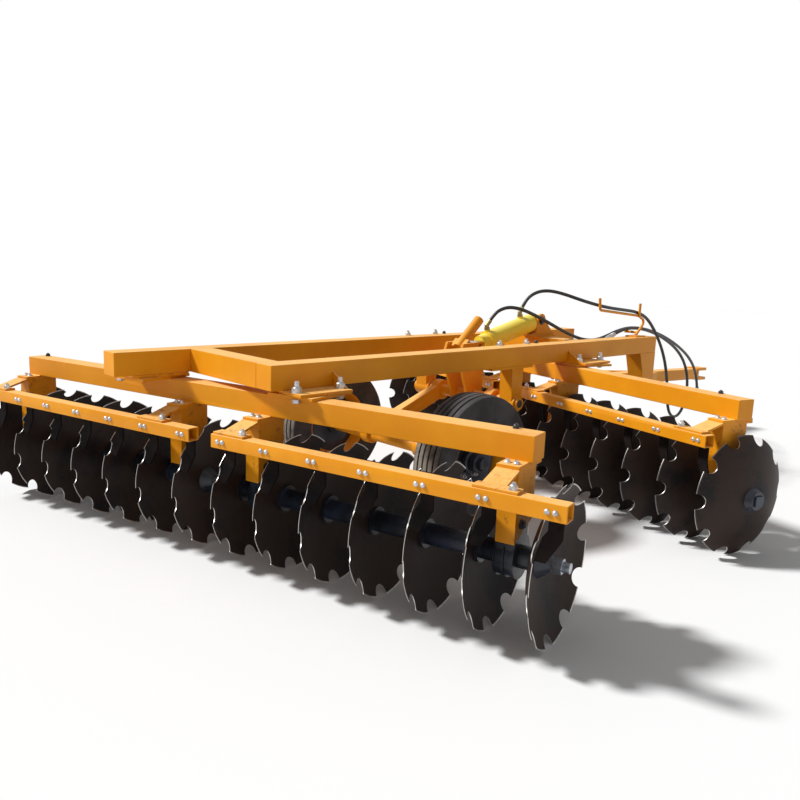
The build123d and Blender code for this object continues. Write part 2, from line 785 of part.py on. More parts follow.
# Hose routes.  Each starts at its port's ferrule, and the other points are where the hose lies.
front_way = Vector(0.33, -0.24, 0.91).normalized()
rear_way = Vector(0.45, -0.30, 0.84).normalized()
front_exit = Vector(elbow_centre(front_port)) + front_way * ferrule_length
rear_exit = Vector(elbow_centre(rear_port)) + rear_way * ferrule_length
front_route = [
    tuple(front_exit),
    tuple(front_exit + front_way * hose_first_run),
    (2273, -47, 1199),
    (2319, -81, 1222),
    (2377, -124, 1224),
    (2451, -180, 1204),
    (2546, -250, 1168),
    (2660, -304, 1138),
    (2800, -318, 1119),
    (2980, -318, 1104),
    (3150, -319, 1089),
    (3290, -322, 1049),
    (3410, -326, 962),
    (3520, -330, 852),
    (3615, -331, 727),
    (3680, -333, 582),
    (3712, -335, 432),
    (3765, -330, 302),
    (3890, -320, 234),
    (4040, -306, 262),
    (4125, -296, 382),
    (4135, -290, 527),
    (4055, -285, 672),
    (3900, -280, 787),
    (3670, -275, 882),
    (3440, -271, 944),
    (3230, -268, 970),
    (3060, -266, 962),
    (2930, -265, 922),
]
rear_route = [
    tuple(rear_exit),
    tuple(rear_exit + rear_way * hose_first_run),
    (1953, -52, 1107),
    (1999, -84, 1120),
    (2060, -126, 1108),
    (2145, -163, 1074),
    (2255, -191, 1028),
    (2372, -212, 978),
    (2490, -224, 936),
    (2640, -228, 900),
    (2790, -229, 894),
    (2920, -229, 916),
    (3060, -230, 950),
    (3230, -231, 970),
    (3440, -232, 955),
    (3680, -231, 908),
    (3900, -226, 846),
    (4110, -215, 772),
    (4300, -201, 690),
    (4450, -187, 597),
    (4560, -174, 487),
    (4615, -165, 372),
]

rear = row_pieces(rear_shift, 1, rear_scraper_offset)
front = row_pieces(front_shift, -1, front_scraper_offset)
nodes = {}
for row_name, place, row in (("rear", rear_row, rear), ("front", front_row, front)):
    nodes[row_name + "_gang_beam"] = [place * row["beam"]]
    nodes[row_name + "_hangers"] = [place * piece for piece in row["hangers"]]
    nodes[row_name + "_bearings"] = [place * piece for piece in row["bearings"]]
    nodes[row_name + "_scraper_bars"] = [place * piece for piece in row["bars"]]
    nodes[row_name + "_scrapers"] = [place * piece for piece in row["scrapers"]]
    for side_name, gang in zip(("right", "left"), row["gangs"]):
        discs, spools, bolt = gang
        gang_name = row_name + "_" + side_name
        nodes["discs_" + gang_name] = [place * piece for piece in discs]
        nodes["spools_" + gang_name] = [place * piece for piece in spools]
        nodes["gang_bolt_" + gang_name] = [place * bolt]

nodes["right_rail"] = [rail(-1, right_rail_rear)]
nodes["left_rail"] = [rail(1, left_rail_rear)]
nodes["rear_cross_member"] = [cross_member(right_rail_rear + rail_width / 2)]
nodes["middle_cross_member"] = [cross_member(cross_x, cross_width)]
nodes["front_legs"] = [front_leg(-1), front_leg(1)]
# Row, its angle, side, and whether the plates reach further ahead of the beam than behind it
crossings = [
    (rear_row_x, rear_angle, -1, True),
    (rear_row_x, rear_angle, 1, False),
    (front_row_x, -front_angle, -1, True),
    (front_row_x, -front_angle, 1, True),
]
for level in ("upper", "lower"):
    nodes["clamp_plates_" + level] = [clamp(*crossing, level == "upper") for crossing in crossings]
nodes["rock_shaft_hangers"] = [rock_hanger(-1), rock_hanger(1)]
nodes["cylinder_bracket"] = [cylinder_bracket()]
shaft_reach = rail_face + pin_proud
nodes["rock_shaft"] = [along_y(rock_diameter / 2, -shaft_reach, shaft_reach, rock_x, rock_z)]
nodes["wheel_arms"] = [wheel_arm(-1), wheel_arm(1)]
nodes["axle"] = [axle()]
nodes["lift_lever"] = lever()
nodes["lock_tube"] = [lock_tube()]
for side, side_name in ((-1, "right"), (1, "left")):
    nodes["tyre_" + side_name] = [tyre(side)]
    nodes["rim_" + side_name] = [rim(side)]
nodes["cylinder_barrel"] = [barrel()]
nodes["cylinder_rod"] = [rod()]
nodes["barrel_fittings"] = [port_fitting(front_port, front_way), port_fitting(rear_port, rear_way)]
nodes["hose_rest"] = [hose_rest()]
for name, route in (("hose_front", front_route), ("hose_rear", rear_route)):
    path, radii = hose_path(route)
    hose = pipe_along(path, hose_diameter / 2)
    nodes[name] = [hose]
    expected = pi * hose_diameter ** 2 / 4 * path.length
    print(name, "length", path.length, "volume share", hose.volume / expected)
    print(name, "radii", [round(radius) for radius in radii])
nodes["hose_couplers"] = [coupler(front_route), coupler(rear_route)]
nodes["drawbar_cross_tube"] = [drawbar_cross_tube()]
nodes["tongue"] = [tongue()]
nodes["drawbar_braces"] = [drawbar_brace(-1), drawbar_brace(1)]
nodes["hitch_clevis"] = [hitch()]

parts = {name: Compound([solid for piece in pieces for solid in piece.solids()]) for name, pieces in nodes.items()}
whole = Compound(list(parts.values())).bounding_box()
to_origin = Pos(-whole.center().X, -whole.center().Y, 0)

os.makedirs("parts", exist_ok=True)
for name, part in parts.items():
    export_step(to_origin * part, "parts/" + name + ".step")
print("nodes", len(parts), "box", whole.size, "moved by", to_origin.position)
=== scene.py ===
import bmesh
import bpy
import json
import math
from mathutils import Matrix, Vector


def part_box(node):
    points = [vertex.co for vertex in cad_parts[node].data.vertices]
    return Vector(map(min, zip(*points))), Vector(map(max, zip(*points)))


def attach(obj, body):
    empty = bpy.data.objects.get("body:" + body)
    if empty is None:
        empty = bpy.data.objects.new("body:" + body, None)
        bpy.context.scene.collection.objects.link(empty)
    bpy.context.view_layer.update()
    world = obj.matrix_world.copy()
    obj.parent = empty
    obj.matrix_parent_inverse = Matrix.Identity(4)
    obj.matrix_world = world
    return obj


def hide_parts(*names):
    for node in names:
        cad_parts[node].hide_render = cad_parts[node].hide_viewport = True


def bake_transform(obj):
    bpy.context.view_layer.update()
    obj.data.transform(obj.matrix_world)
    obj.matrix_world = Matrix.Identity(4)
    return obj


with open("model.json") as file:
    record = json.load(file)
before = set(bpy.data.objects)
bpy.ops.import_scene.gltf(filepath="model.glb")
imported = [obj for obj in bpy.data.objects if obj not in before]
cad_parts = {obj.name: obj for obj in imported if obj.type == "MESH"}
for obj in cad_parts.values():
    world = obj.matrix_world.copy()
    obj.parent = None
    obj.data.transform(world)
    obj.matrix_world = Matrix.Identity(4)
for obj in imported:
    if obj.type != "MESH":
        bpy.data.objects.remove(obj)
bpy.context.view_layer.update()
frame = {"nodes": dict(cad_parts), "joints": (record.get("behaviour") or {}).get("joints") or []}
nodes = frame["nodes"]
joints = {joint["name"]: joint for joint in frame["joints"]}
scene = bpy.context.scene
print("frame loaded,", len(nodes), "nodes")


# a row frame: y along the disc axle, x forward, heights as in the room
def rowFrame(jointName):
    joint = joints[jointName]
    along = Vector(joint["axis"]).normalized()
    up = Vector((0, 0, 1))
    turn = Matrix((along.cross(up), along, up)).transposed().to_4x4()
    return Matrix.Translation((joint["pos_m"][0], joint["pos_m"][1], 0)) @ turn


rearRow = rowFrame("gang_rear_right_spin")
frontRow = rowFrame("gang_front_right_spin")
rows = {"rear": rearRow, "front": frontRow}
sides = {"right": -1, "left": 1}  # the sign of y
origin = rearRow.translation  # routes and camera are measured from here
middleY = joints["lift_hinge"]["pos_m"][1]


# box of every solid in a node, measured along the axes of a frame
def solidBoxes(nodeName, place=Matrix(), joinWithin=1e-5):
    mesh = bmesh.new()
    mesh.from_mesh(nodes[nodeName].data)
    bmesh.ops.remove_doubles(mesh, verts=mesh.verts, dist=joinWithin)
    mesh.transform(place.inverted())
    seen, boxes = set(), []
    for first in mesh.verts:
        if first in seen:
            continue
        seen.add(first)
        stack, spots = [first], []
        while stack:
            vert = stack.pop()
            spots.append(vert.co.copy())
            for edge in vert.link_edges:
                other = edge.other_vert(vert)
                if other not in seen:
                    seen.add(other)
                    stack.append(other)
        boxes.append((Vector(min(s[i] for s in spots) for i in range(3)),
                      Vector(max(s[i] for s in spots) for i in range(3))))
    mesh.free()
    return sorted(boxes, key=lambda box: box[0].y)


# camera at the photograph's angle
cameraView = {
    "fromRearRow": (-1.80817, -2.99478, 1.34319),
    "yaw": 46.927, "pitch": -9.903, "roll": 2.070,  # degrees, yaw from +X to +Y
    "lens": 33.54, "sensor": 36.0, "shift": (0.0233, -0.0043),
}


def makeCamera(view):
    yaw, pitch, roll = (math.radians(view[key]) for key in ("yaw", "pitch", "roll"))
    ahead = Vector((math.cos(pitch) * math.cos(yaw), math.cos(pitch) * math.sin(yaw), math.sin(pitch)))
    level = Vector((math.sin(yaw), -math.cos(yaw), 0))
    above = level.cross(ahead)
    right = level * math.cos(roll) + above * math.sin(roll)
    up = above * math.cos(roll) - level * math.sin(roll)
    data = bpy.data.cameras.new("photoCamera")
    data.lens, data.sensor_width = view["lens"], view["sensor"]
    data.shift_x, data.shift_y = view["shift"]
    camera = bpy.data.objects.new("photoCamera", data)
    scene.collection.objects.link(camera)
    camera.matrix_world = Matrix.Translation(origin + Vector(view["fromRearRow"])) @ \
        Matrix((right, up, -ahead)).transposed().to_4x4()
    scene.camera = camera


makeCamera(cameraView)
print("camera set")


# a socket that can be used in sums, each sum adds its Math node
class Value:
    def __init__(self, tree, socket):
        self.tree, self.socket = tree, socket

    def at(self, name):
        return Value(self.tree, self.socket.node.outputs[name])

    def maths(self, operation, first, second):
        return self.tree.node("ShaderNodeMath", {"operation": operation}, {0: first, 1: second})

    def __add__(self, other):
        return self.maths("ADD", self, other)

    def __radd__(self, other):
        return self.maths("ADD", other, self)

    def __sub__(self, other):
        return self.maths("SUBTRACT", self, other)

    def __rsub__(self, other):
        return self.maths("SUBTRACT", other, self)

    def __mul__(self, other):
        return self.maths("MULTIPLY", self, other)

    def __rmul__(self, other):
        return self.maths("MULTIPLY", other, self)

    def __pow__(self, other):
        return self.maths("POWER", self, other)

    def __rpow__(self, other):
        return self.maths("POWER", other, self)

    def between(self, low, high):  # 0 below low, 1 above high
        return self.tree.node("ShaderNodeMapRange", {"interpolation_type": "SMOOTHSTEP"},
                              {"Value": self, "From Min": low, "From Max": high})


class Tree:
    def __init__(self, tree):
        self.tree = tree

    def node(self, kind, settings=None, inputs=None, output=0):
        made = self.tree.nodes.new(kind)
        for key, value in (settings or {}).items():
            setattr(made, key, value)
        for key, value in (inputs or {}).items():
            for item in value if isinstance(value, list) else [value]:
                if isinstance(item, Value):
                    self.tree.links.new(item.socket, made.inputs[key])
                else:
                    made.inputs[key].default_value = item
        return Value(self, made.outputs[output]) if made.outputs else None


class Finish(Tree):
    def __init__(self, name):
        self.material = bpy.data.materials.new(name)
        self.material.use_nodes = True
        super().__init__(self.material.node_tree)
        self.shader = self.tree.nodes["Principled BSDF"]
        self.spot = self.node("ShaderNodeTexCoord").at("Object")

    def put(self, **values):
        for key, value in values.items():
            socket = self.shader.inputs[key.replace("_", " ")]
            if isinstance(value, Value):
                self.tree.links.new(value.socket, socket)
            else:
                socket.default_value = value

    def noise(self, scale, detail, rough, spot=None):
        return self.node("ShaderNodeTexNoise", {}, {"Vector": spot or self.spot, "Scale": scale,
                                                    "Detail": detail, "Roughness": rough})

    def mix(self, share, first, second):
        return self.node("ShaderNodeMix", {"data_type": "RGBA"}, {0: share, 6: first, 7: second}, 2)

    def turned(self, place=None, scale=(1, 1, 1)):  # coordinates in another frame, or stretched
        settings = {"Vector": self.spot, "Scale": scale}
        if place is not None:
            back = place.inverted()
            settings["Location"], settings["Rotation"] = back.translation, back.to_euler()
        return self.node("ShaderNodeMapping", {}, settings)

    def apart(self, vector):
        return self.node("ShaderNodeSeparateXYZ", {}, {0: vector})

    def aroundAxle(self, place):  # x in another frame, and the distance from its y axis
        parts = self.apart(self.turned(place))
        x, z = parts.at("X"), parts.at("Z")
        return x, (x * x + z * z) ** 0.5

    def upward(self):
        normal = self.node("ShaderNodeNewGeometry").at("Normal")
        return self.apart(normal).at("Z")

    def bumps(self, height, strength, distance):
        bump = self.node("ShaderNodeBump", {}, {"Strength": strength, "Distance": distance, "Height": height})
        self.put(Normal=bump)


# the pale dust colours are dust that also paints a sunlit highlight on the top faces
machineCoat = {
    "colour": (0.71, 0.260, 0.003, 1), "faded": (0.78, 0.308, 0.006, 1), "grime": (0.20, 0.080, 0.018, 1),
    "dustAndSunlit": (0.98, 0.66, 0.28, 1), "dustAndSunlitShare": 0.50, "roughness": 0.42, "coat": 0.06,
}
cylinderCoat = {
    "colour": (0.95, 0.72, 0.050, 1), "faded": (0.97, 0.79, 0.090, 1), "grime": (0.17, 0.115, 0.03, 1),
    "dustAndSunlit": (0.93, 0.84, 0.36, 1), "dustAndSunlitShare": 0.40, "roughness": 0.36, "coat": 0.10,
}
plateCoat = {**machineCoat, "scuffs": 0.55, "rust": (0.17, 0.062, 0.026, 1)}

# noises are (scale, detail, roughness), the From pairs are where a mark starts and where it is full
paintMarks = {
    "clouds": (2.6, 4.0, 0.6), "grain": (55.0, 4.0, 0.65), "streaks": (9.0, 3.0, 0.6), "specks": (210.0, 2.0, 0.5),
    "rub": (26.0, 6.0, 0.7), "skin": (420.0, 2.0, 0.55), "streakStretch": (1, 1, 0.12), "fadedFrom": (0.36, 0.68),
    "grimeFrom": (0.60, 0.80), "streaksFrom": (0.48, 0.70), "grimeShare": 0.32,
    "chipsFrom": (0.735, 0.76), "chippedFrom": (0.50, 0.62), "chipShare": 0.7, "chip": (0.045, 0.034, 0.030, 1),
    "topFrom": (0.55, 0.98), "dustAndSunlitFrom": (0.18, 0.55), "rubFrom": (0.55, 0.66),
    "coatRoughness": 0.16, "grainRoughness": 0.14, "dustRoughness": 0.12, "specular": 0.22,
    "chipDepth": -1.5, "bump": (0.10, 0.0006),
}


def paintFinish(name, look):
    marks, finish = paintMarks, Finish(name)
    clouds, grain, specks = (finish.noise(*marks[key]) for key in ("clouds", "grain", "specks"))
    streaks = finish.noise(*marks["streaks"], finish.turned(scale=marks["streakStretch"]))
    colour = finish.mix(clouds.between(*marks["fadedFrom"]), look["colour"], look["faded"])
    grime = grain.between(*marks["grimeFrom"]) * streaks.between(*marks["streaksFrom"]) * marks["grimeShare"]
    chips = specks.between(*marks["chipsFrom"]) * clouds.between(*marks["chippedFrom"])
    # patchy dust on upward faces, which also paints the sunlit highlight of the tops
    dustAndSunlit = finish.upward().between(*marks["topFrom"]) * (clouds * 0.5 + grain * 0.5).between(*marks["dustAndSunlitFrom"])
    colour = finish.mix(dustAndSunlit * look["dustAndSunlitShare"], colour, look["dustAndSunlit"])
    colour = finish.mix(grime, colour, look["grime"])
    colour = finish.mix(chips * marks["chipShare"], colour, marks["chip"])
    if "scuffs" in look:
        scuffs = finish.noise(*marks["rub"]).between(*marks["rubFrom"]) * look["scuffs"]
        colour = finish.mix(scuffs, colour, look["rust"])
    roughness = look["roughness"] + grain * marks["grainRoughness"] + dustAndSunlit * marks["dustRoughness"]
    finish.put(Base_Color=colour, Roughness=roughness, Specular_IOR_Level=marks["specular"],
               Coat_Weight=look["coat"] - chips * look["coat"], Coat_Roughness=marks["coatRoughness"])
    finish.bumps(finish.noise(*marks["skin"]) + chips * marks["chipDepth"], *marks["bump"])
    return finish.material


discLook = {
    "colour": (0.036, 0.022, 0.017, 1), "burnt": (0.011, 0.010, 0.012, 1), "soil": (0.072, 0.043, 0.031, 1),
    "edge": (0.62, 0.60, 0.57, 1), "radius": 0.302, "edgeWidth": 0.005, "roughness": 0.44, "specular": 0.16,
    "clouds": (5.0, 5.0, 0.62), "grain": (70.0, 4.0, 0.7), "rings": 420.0, "ringDetail": 3.0,
    "burntFrom": (0.44, 0.70), "soilFrom": (0.52, 0.78), "soiledFrom": (0.40, 0.62), "soilShare": 0.55,
    "cutFrom": (0.10, 0.30), "ragged": 0.004, "outset": 0.001, "metallic": 0.9, "ringRoughness": 0.16,
    "edgeGloss": 0.12, "ringDepth": 0.4, "bump": (0.12, 0.0008),
}


# lacquered disc steel, brushed round its axle, bare on its cut faces and, by a share, along its ground rim; the share
# per row also paints how bright the rims' highlights are
def discFinish(name, row, look, rimWearAndHighlightShare):
    finish = Finish(name)
    axle = row @ Matrix.Translation((0, 0, joints["gang_rear_right_spin"]["pos_m"][2]))
    _, radius = finish.aroundAxle(axle)
    clouds, grain = finish.noise(*look["clouds"]), finish.noise(*look["grain"])
    rings = finish.node("ShaderNodeTexNoise", {"noise_dimensions": "1D"},
                        {"W": radius, "Scale": look["rings"], "Detail": look["ringDetail"]})
    colour = finish.mix(clouds.between(*look["burntFrom"]), look["colour"], look["burnt"])
    soil = grain.between(*look["soilFrom"]) * clouds.between(*look["soiledFrom"]) * look["soilShare"]
    colour = finish.mix(soil, colour, look["soil"])
    facing = finish.node("ShaderNodeVectorMath", {"operation": "DOT_PRODUCT"}, {
        0: finish.node("ShaderNodeNewGeometry").at("True Normal"), 1: row.to_3x3() @ Vector((0, 1, 0))}, 1)
    cut = 1 - (facing * facing).between(*look["cutFrom"])
    rim = look["radius"] + look["outset"]
    ground = (radius + grain * look["ragged"]).between(rim - look["edgeWidth"], rim) * rimWearAndHighlightShare
    edge = cut + ground - cut * ground
    colour = finish.mix(edge, colour, look["edge"])
    finish.put(Base_Color=colour, Metallic=edge * look["metallic"], Specular_IOR_Level=look["specular"],
               Roughness=look["roughness"] + rings * look["ringRoughness"] - edge * look["edgeGloss"])
    finish.bumps(rings * look["ringDepth"] + grain, *look["bump"])
    return finish.material


# the black coat's blue tones, most of all its worn patches, paint the sky's reflection on glossy black paint; the
# scrapers' worn patches are real wear
blackCoat = {
    "colour": (0.008, 0.010, 0.016, 1), "wornAndSkySheen": (0.026, 0.035, 0.060, 1), "roughness": 0.28, "sheen": 0.55,
    "clouds": (11.0, 4.0, 0.6), "wornAndSkySheenFrom": (0.36, 0.68), "cast": (130.0, 4.0, 0.62), "castRoughness": 0.18,
    "bump": (0.30, 0.0010),
}
scraperCoat = {
    **blackCoat, "colour": (0.007, 0.006, 0.006, 1), "wornAndSkySheen": (0.015, 0.011, 0.010, 1), "roughness": 0.55,
    "sheen": 0.03, "cast": (60.0, 4.0, 0.62), "bump": (0.15, 0.0010),
}


def ironFinish(name, look):
    finish = Finish(name)
    clouds, cast = finish.noise(*look["clouds"]), finish.noise(*look["cast"])
    # worn patches: real wear, and in the black coat also a painted blue sky reflection
    colour = finish.mix(clouds.between(*look["wornAndSkySheenFrom"]), look["colour"], look["wornAndSkySheen"])
    finish.put(Base_Color=colour, Roughness=look["roughness"] + cast * look["castRoughness"],
               Specular_IOR_Level=look["sheen"])
    finish.bumps(cast, *look["bump"])
    return finish.material


zincLook = {"colour": (0.66, 0.66, 0.67, 1), "dull": (0.40, 0.405, 0.42, 1), "roughness": 0.30, "metallic": 0.75}
yellowLook = {"colour": (0.40, 0.34, 0.15, 1), "dull": (0.17, 0.16, 0.10, 1), "roughness": 0.32, "metallic": 0.85}
steelLook = {"colour": (0.47, 0.50, 0.56, 1), "dull": (0.25, 0.265, 0.30, 1), "roughness": 0.30, "metallic": 0.9}
chromeLook = {"colour": (0.78, 0.79, 0.80, 1), "dull": (0.66, 0.67, 0.69, 1), "roughness": 0.10, "metallic": 1.0}
metalMarks = {
    "clouds": (38.0, 4.0, 0.6), "grain": (260.0, 3.0, 0.6), "dullFrom": (0.40, 0.66), "painted": 0.040, "bare": 0.050,
    "cloudRoughness": 0.10, "grainRoughness": 0.06, "bump": (0.08, 0.0005),
}


# bare metal, with black paint over the end of a row's bolt that carries the head
def metalFinish(name, look, row=None, headY=0.0):
    marks, finish = metalMarks, Finish(name)
    clouds, grain = finish.noise(*marks["clouds"]), finish.noise(*marks["grain"])
    colour, metallic = finish.mix(clouds.between(*marks["dullFrom"]), look["colour"], look["dull"]), look["metallic"]
    if row is not None:
        fromHead = finish.apart(finish.turned(row)).at("Y") - headY
        bare = (fromHead * fromHead).between(marks["painted"] ** 2, marks["bare"] ** 2)
        # the bolt's black end takes the black coat's blue worn colour, which carries a painted sky reflection
        colour, metallic = finish.mix(bare, blackCoat["wornAndSkySheen"], colour), bare * metallic
    roughness = look["roughness"] + clouds * marks["cloudRoughness"] + grain * marks["grainRoughness"]
    finish.put(Base_Color=colour, Metallic=metallic, Roughness=roughness)
    finish.bumps(grain, *marks["bump"])
    return finish.material


# the beige dust colour also paints sunlight on the rear of the tread
tyreLook = {
    "colour": (0.029, 0.027, 0.029, 1), "grey": (0.066, 0.062, 0.066, 1), "dustAndSunlit": (0.36, 0.31, 0.25, 1),
    "clouds": (7.0, 5.0, 0.6), "grain": (150.0, 4.0, 0.65), "greyFrom": (0.35, 0.70),
    "treadDepth": 0.009, "treadTop": 0.004, "dusty": 0.12,
    "rearDustAndSunlightBehind": (0.24, 0.34), "rearDustAndSunlightFrom": (0.30, 0.55), "rearDustAndSunlight": 0.7,
    "roughness": 0.62, "grainRoughness": 0.18, "specular": 0.3,
    "bumpGrain": 0.6, "bumpClouds": 0.4, "bump": (0.18, 0.0012),
}


def tyreFinish(name, look, hub):
    finish = Finish(name)
    x, radius = finish.aroundAxle(Matrix.Translation(hub))
    clouds, grain = finish.noise(*look["clouds"]), finish.noise(*look["grain"])
    colour = finish.mix(clouds.between(*look["greyFrom"]), look["colour"], look["grey"])
    # on the rear of the tread's ribs: dust, and a painted patch of sunlight where the key light reaches them
    rearDustAndSunlight = (x * -1.0).between(*look["rearDustAndSunlightBehind"]) * clouds.between(*look["rearDustAndSunlightFrom"]) * look["rearDustAndSunlight"]
    tread = radius.between(hub.z - look["treadDepth"], hub.z - look["treadTop"])
    colour = finish.mix(tread * (clouds * look["dusty"] + rearDustAndSunlight), colour, look["dustAndSunlit"])
    finish.put(Base_Color=colour, Roughness=look["roughness"] + grain * look["grainRoughness"],
               Specular_IOR_Level=look["specular"])
    finish.bumps(grain * look["bumpGrain"] + clouds * look["bumpClouds"], *look["bump"])
    return finish.material


hoseLook = {
    "colour": (0.014, 0.014, 0.015, 1), "scuffed": (0.050, 0.048, 0.047, 1), "roughness": 0.34, "specular": 0.5,
    "clouds": (14.0, 4.0, 0.6), "weave": (380.0, 2.0, 0.5), "scuffedFrom": (0.48, 0.74), "cloudRoughness": 0.16,
    "bump": (0.22, 0.0007),
}


def hoseFinish(name, look):
    finish = Finish(name)
    clouds, weave = finish.noise(*look["clouds"]), finish.noise(*look["weave"])
    colour = finish.mix(clouds.between(*look["scuffedFrom"]), look["colour"], look["scuffed"])
    finish.put(Base_Color=colour, Roughness=look["roughness"] + clouds * look["cloudRoughness"],
               Specular_IOR_Level=look["specular"])
    finish.bumps(weave, *look["bump"])
    return finish.material


wheelHub = Vector(joints["wheel_right_spin"]["pos_m"])
orangePaint = paintFinish("machine_paint", machineCoat)
platePaint = paintFinish("plate_paint", plateCoat)
yellowPaint = paintFinish("cylinder_paint", cylinderCoat)
rimPaint = paintFinish("rim_paint", machineCoat)
rimWearAndHighlightShares = {"rear": 1.0, "front": 0.2}  # share of the ground rim that shows; the front row's smaller share paints its dimmer rim highlights
discSteel = {label: discFinish("disc_steel_" + label, row, discLook, rimWearAndHighlightShares[label])
             for label, row in rows.items()}
blackIron = ironFinish("black_iron", blackCoat)
scraperSteel = ironFinish("scraper_steel", scraperCoat)
brightZinc = metalFinish("bright_zinc", zincLook)
yellowZinc = metalFinish("yellow_zinc", yellowLook)
headEnds = {"rear": 1, "front": 0}  # which end of the bolt along its row
gangSteel = {}
for label, row in rows.items():
    for side in sides:
        name = label + "_" + side
        headY = solidBoxes("gang_bolt_" + name, row)[0][headEnds[label]].y
        gangSteel["gang_bolt_" + name] = metalFinish("gang_steel_" + name, steelLook, row, headY)
chrome = metalFinish("chromed_rod", chromeLook)
tyreRubber = tyreFinish("tyre_rubber", tyreLook, wheelHub)
hoseRubber = hoseFinish("hose_rubber", hoseLook)
print("finishes made")

nodeFinishes = {
    "discs_rear": discSteel["rear"], "discs_front": discSteel["front"], "spools": blackIron, **gangSteel,
    "rear_bearings": blackIron, "front_bearings": blackIron,
    "rear_scrapers": scraperSteel, "front_scrapers": scraperSteel,
    "cylinder_barrel": yellowPaint, "cylinder_rod": chrome, "barrel_fittings": yellowZinc,
    "hose_couplers": brightZinc, "hose_front": hoseRubber, "hose_rear": hoseRubber,
    "tyre": tyreRubber, "rim": rimPaint,
    "clamp_plates": platePaint, "rear_hangers": platePaint, "front_hangers": platePaint,
}
for name, item in nodes.items():
    finish = next((made for start, made in nodeFinishes.items() if name.startswith(start)), orangePaint)
    item.data.materials.clear()
    item.data.materials.append(finish)
print("finishes put on the CAD nodes")

# folded and flame-cut edges are slightly round
softEdges = {
    "width": 0.0035, "thinWidth": 0.0018, "segments": 2, "angle": 38, "weld": 0.00002,
    "wide": ("rear_gang_beam", "front_gang_beam", "right_rail", "left_rail", "rear_cross_member",
             "middle_cross_member", "rear_scraper_bars", "front_scraper_bars", "tongue", "wheel_arms"),
    "thin": ("clamp_plates_upper", "clamp_plates_lower", "front_legs", "rear_hangers", "front_hangers"),
}
for key, width in (("wide", softEdges["width"]), ("thin", softEdges["thinWidth"])):
    for name in softEdges[key]:
        weld = nodes[name].modifiers.new("weld", "WELD")
        weld.merge_threshold = softEdges["weld"]
        bevel = nodes[name].modifiers.new("softEdge", "BEVEL")
        bevel.width, bevel.segments = width, softEdges["segments"]
        bevel.limit_method, bevel.angle_limit = "ANGLE", math.radians(softEdges["angle"])
        bevel.harden_normals = True
print("edges softened")


def addMesh(name, mesh, material):
    mesh.materials.clear()
    mesh.materials.append(material)
    made = bpy.data.objects.new(name, mesh)
    scene.collection.objects.link(made)
    return made


# adds a profile of (radius, height) points, turned round the local z axis
# a profile that starts off the axis becomes a closed ring
def turnProfile(mesh, profile, place, segments):
    columns = []
    for radius, height in profile:
        turns = [2 * math.pi * step / segments for step in range(segments if radius > 0 else 1)]
        columns.append([mesh.verts.new(place @ Vector((radius * math.cos(turn), radius * math.sin(turn), height)))
                        for turn in turns])
    pairs = list(zip(columns, columns[1:]))
    if profile[0][0] > 0:
        pairs.append((columns[-1], columns[0]))
    for low, high in pairs:
        for step in range(segments):
            after = (step + 1) % segments
            corners = [low[step % len(low)], low[after % len(low)], high[after % len(high)], high[step % len(high)]]
            face = mesh.faces.new(list(dict.fromkeys(corners)))
            face.smooth = True


# one piece of turned profiles, each with its place
def lathePiece(name, turnings, segments, material, body, sharp=32):
    mesh = bmesh.new()
    for profile, place in turnings:
        turnProfile(mesh, profile, place, segments)
    bmesh.ops.recalc_face_normals(mesh, faces=mesh.faces)
    for edge in mesh.edges:
        edge.smooth = edge.calc_face_angle(0) < math.radians(sharp)
    data = bpy.data.meshes.new(name)
    mesh.to_mesh(data)
    mesh.free()
    piece = addMesh(name, data, material)
    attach(piece, body)
    return piece


# local z points along y, away from the machine's middle on the side of the sign
def outwardAt(place, sign):
    return Matrix.Translation(place) @ Matrix.Rotation(-sign * math.pi / 2, 4, "X")


# hoses: the same control points as the CAD routes, in metres from the rear row's middle
hoses = {
    "hose_front": {
        "diameter": 0.022, "loosensTo": 6, "points": (
            (2.2233, -0.0096, 1.1132), (2.2399, -0.0217, 1.1588), (2.273, -0.047, 1.199), (2.319, -0.081, 1.222),
            (2.377, -0.124, 1.224), (2.451, -0.180, 1.204), (2.546, -0.250, 1.168), (2.660, -0.304, 1.138),
            (2.800, -0.318, 1.119), (2.980, -0.318, 1.104), (3.150, -0.319, 1.089), (3.290, -0.322, 1.049),
            (3.410, -0.326, 0.962), (3.520, -0.330, 0.852), (3.615, -0.331, 0.727), (3.680, -0.333, 0.582),
            (3.712, -0.335, 0.432), (3.765, -0.330, 0.302), (3.890, -0.320, 0.234), (4.040, -0.306, 0.262),
            (4.125, -0.296, 0.382), (4.135, -0.290, 0.527), (4.055, -0.285, 0.672), (3.900, -0.280, 0.787),
            (3.670, -0.275, 0.882), (3.440, -0.271, 0.944), (3.230, -0.268, 0.970), (3.060, -0.266, 0.962),
            (2.930, -0.265, 0.922))},
    "hose_rear": {
        "diameter": 0.022, "loosensTo": 6, "points": (
            (1.8947, -0.0120, 1.0339), (1.9173, -0.0270, 1.0760), (1.953, -0.052, 1.107), (1.999, -0.084, 1.120),
            (2.060, -0.126, 1.108), (2.145, -0.163, 1.074), (2.255, -0.191, 1.028), (2.372, -0.212, 0.978),
            (2.490, -0.224, 0.936), (2.640, -0.228, 0.900), (2.790, -0.229, 0.894), (2.920, -0.229, 0.916),
            (3.060, -0.230, 0.950), (3.230, -0.231, 0.970), (3.440, -0.232, 0.955), (3.680, -0.231, 0.908),
            (3.900, -0.226, 0.846), (4.110, -0.215, 0.772), (4.300, -0.201, 0.690), (4.450, -0.187, 0.597),
            (4.560, -0.174, 0.487), (4.615, -0.165, 0.372))},
}
hoseDetail = {"steps": 10, "sides": 4, "order": 3, "couplerSegments": 32}


